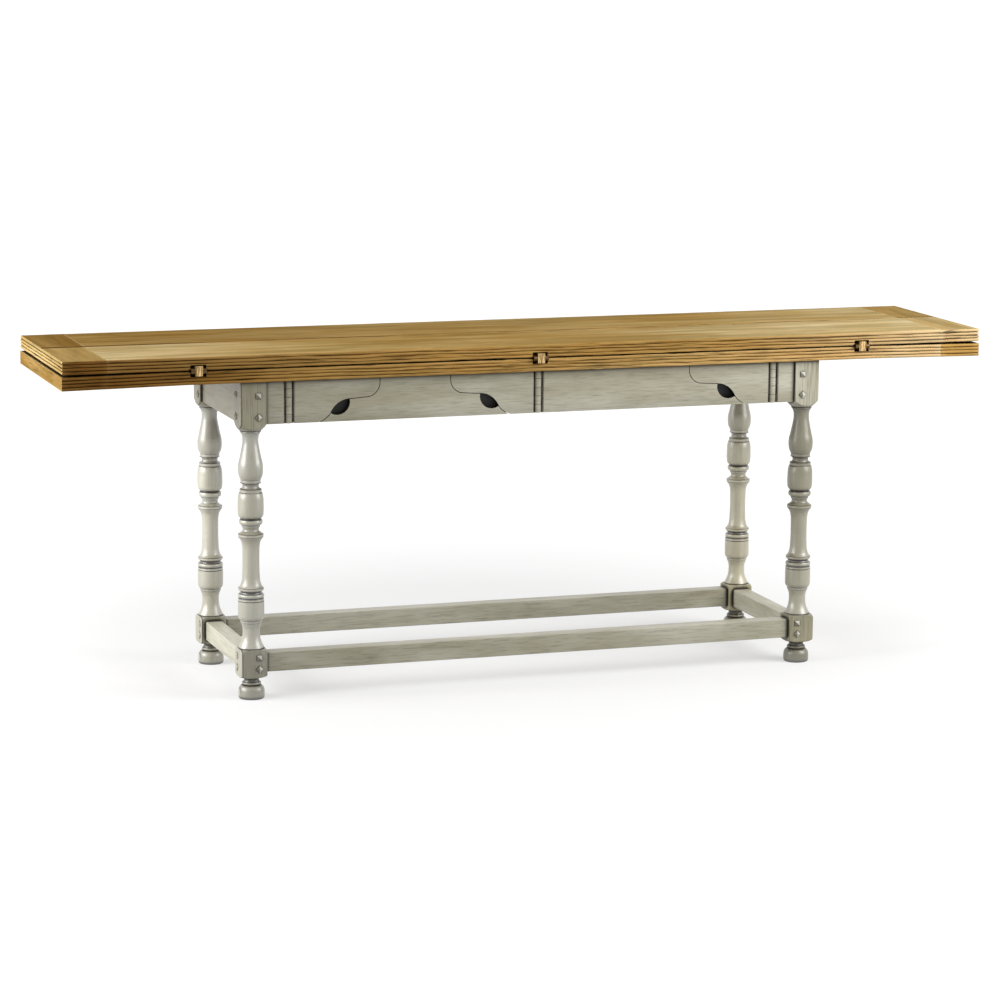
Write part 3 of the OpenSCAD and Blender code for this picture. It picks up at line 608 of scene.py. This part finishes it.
def board_materials(part):
    shares = bleaching_and_light[part]
    return {
        "face": oak(f"oak_{part}", "X", face_tones, shares["face"], 0.22),
        "clamp": oak(f"oak_{part}_clamp", "Y", face_tones, shares["clamp"], 0.15),
        "edge": oak(f"oak_{part}_edge", "X", edge_tones, shares["edge"], 0.70, (0.70, 0.95)),
        "clamp_edge": oak(
            f"oak_{part}_clamp_edge", "X", edge_tones, shares["clamp_edge"], 0.80, (0.70, 0.95)),
        "end": oak(f"oak_{part}_end", "Y", face_tones, shares["end"], 0.60, (0.60, 0.85)),
    }


def coat_board(piece, low, high, finishes, open_end):
    names = ("clamp", "end", "clamp_edge") if open_end else ("face", "edge", "edge")
    for name in names:
        piece.data.materials.append(finishes[name])
    flat = 0.0003
    for face in piece.data.polygons:
        height = face.center.z - low.z
        on_face = height < flat or height > high.z - low.z - flat
        face.material_index = 0 if on_face else 1 if abs(face.normal.x) > 0.7 else 2


def find_hollows(piece):
    bpy.ops.object.select_all(action="DESELECT")
    piece.select_set(True)
    bpy.context.view_layer.objects.active = piece
    piece.data.color_attributes.new("hollows", "BYTE_COLOR", "CORNER")
    bpy.ops.paint.vertex_color_dirt(blur_strength=1, blur_iterations=1, clean_angle=math.pi, dirt_angle=0)


for part, body in (("main_top", "frame"), ("front_leaf", "front_leaf"), ("back_leaf", "back_leaf")):
    finishes = board_materials(part)
    clamp_low, clamp_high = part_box(f"{part}_clamp_left")
    for piece_name, x0, x1, open_end in (
        ("clamp_left", clamp_low.x, -panel_end, -1),
        ("panel", -panel_end, panel_end, 0),
        ("clamp_right", panel_end, -clamp_low.x, 1),
    ):
        low = Vector((x0, clamp_low.y, clamp_low.z))
        high = Vector((x1, clamp_high.y, clamp_high.z))
        node = f"{part}_{piece_name}"
        reeded_end = open_end != 0 and part != "main_top"
        board = reeded_board(f"{node}_board", low, high, open_end, reeded_end)
        coat_board(board, low, high, finishes, open_end)
        wear_edges(board, low, high, open_end, reeded_end)
        if open_end == 0:
            cut_hinges(board)
        if part == "main_top":
            sink_ends(board)
        board.vertex_groups.clear()
        find_hollows(board)
        bpy.ops.object.shade_smooth_by_angle(angle=math.radians(45))
        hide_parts(node)
        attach(board, body)
bpy.data.objects.remove(notch_cutter)
bpy.data.objects.remove(recess_cutter)


# Hinges: brass plates and knuckles, let into the boards and screwed. The outer knuckles and the pins have
# gone dark, and the squared middle knuckle is rubbed bright, with file marks up and down.
def brass(name, along, bright, dark, fineness, roughness):
    material, shader = new_material(name)
    patina = noise(material, along_grain(material, along, 8), fineness, 2)
    colour = mix(material, spread(material, patina, 0.42, 0.58), bright, dark)
    material.node_tree.links.new(colour, shader.inputs["Base Color"])
    shader.inputs["Metallic"].default_value = 1
    shader.inputs["Roughness"].default_value = roughness
    return material


dark_brass = brass("dark_brass", "X", (0.15, 0.095, 0.040, 1), (0.06, 0.036, 0.015, 1), 260, 0.45)
rubbed_brass = brass("rubbed_brass", "Z", (0.66, 0.47, 0.23, 1), (0.22, 0.13, 0.050, 1), 330, 0.42)
finish_nodes([n for n in nodes if n.startswith(("hinge_", "leaf_screws"))], dark_brass)
finish_nodes(["leaf_plates_front", "leaf_plates_back"], rubbed_brass)

# Pins and screws: turned steel. The pins stand upright in the brackets' wooden knuckles, and the screws
# hold the main top to the bearers from below.
steel, steel_shader = new_material("turned_steel")
turning = noise(steel, along_grain(steel, "X", 1), 900, 3)
steel_colour = mix(steel, spread(steel, turning, 0.35, 0.65), (0.42, 0.42, 0.43, 1), (0.30, 0.30, 0.31, 1))
steel.node_tree.links.new(steel_colour, steel_shader.inputs["Base Color"])
steel_shader.inputs["Metallic"].default_value = 1
steel_shader.inputs["Roughness"].default_value = 0.35
finish_nodes(["fly_pins_front", "fly_pins_back", "bearer_screws"], steel)

# Room: a white floor that keeps the table's shadow, partly cast and partly painted, a white surround, and
# soft lamps at both sides.
# What the camera sees of them is white, and what they light the table with is set apart from that.
bpy.ops.mesh.primitive_plane_add(size=60, location=(0, 0, 0))
floor = bpy.context.object
floor.name = "floor"
floor_paint = bpy.data.materials.new("floor_paint")
floor_paint.use_nodes = True
floor_paint.node_tree.nodes.clear()


def shown(material):
    # 1 for what the camera sees, also in a mirror or through glass, and 0 for what only gives light
    rays = add_node(material, "ShaderNodeLightPath").outputs
    seen = reckon(material, "MAXIMUM", rays["Is Camera Ray"], rays["Is Glossy Ray"])
    return reckon(material, "MAXIMUM", seen, rays["Is Transmission Ray"])


# Near the table the floor's glow is turned down, a painted shadow under and around it that adds to the shadow
# the lamps cast
floor_place = add_node(floor_paint, "ShaderNodeTexCoord").outputs["Object"]
reach = add_node(floor_paint, "ShaderNodeVectorMath", {0: floor_place}, operation="LENGTH").outputs["Value"]
matt = add_node(floor_paint, "ShaderNodeBsdfDiffuse", {"Color": (0.35, 0.35, 0.35, 1)})
glow_with_painted_shadow = add_node(floor_paint, "ShaderNodeEmission", {
    "Color": (1, 1, 1, 1), "Strength": spread(floor_paint, reach, 0.9, 2.6, 0.47, 0.80)})
dim = add_node(floor_paint, "ShaderNodeBsdfDiffuse", {"Color": (0.54, 0.54, 0.54, 1)})
both = add_node(floor_paint, "ShaderNodeAddShader", {0: glow_with_painted_shadow.outputs[0], 1: dim.outputs[0]})
pick = add_node(
    floor_paint, "ShaderNodeMixShader", {0: shown(floor_paint), 1: matt.outputs[0], 2: both.outputs[0]})
add_node(floor_paint, "ShaderNodeOutputMaterial", {"Surface": pick.outputs[0]})
floor.data.materials.append(floor_paint)


def lamp(name, place, aim, size, power):
    bpy.ops.object.light_add(type="AREA", location=place)
    light = bpy.context.object
    light.name = name
    light.rotation_euler = (Vector(aim) - Vector(place)).to_track_quat("-Z", "Y").to_euler()
    light.data.shape = "SQUARE"
    light.data.size = size
    light.data.energy = power


table_middle = (0, 0, 0.4)
lamp("left_lamp", (-3.6, 0.8, 1.6), table_middle, 1.6, 36)
lamp("low_lamp", (-4.2, -0.4, 1.65), table_middle, 1.9, 104)
lamp("right_lamp", (2.2, -1.6, 1.6), table_middle, 1.6, 52)

world = bpy.data.worlds.new("surround")
bpy.context.scene.world = world
world.use_nodes = True
world.node_tree.nodes.clear()
strength = spread(world, shown(world), 0, 1, 0.50, 1.02)
shell = add_node(world, "ShaderNodeBackground", {"Color": (1, 1, 1, 1), "Strength": strength})
add_node(world, "ShaderNodeOutputWorld", {"Surface": shell.outputs[0]})

bpy.context.scene.view_settings.view_transform = "Standard"
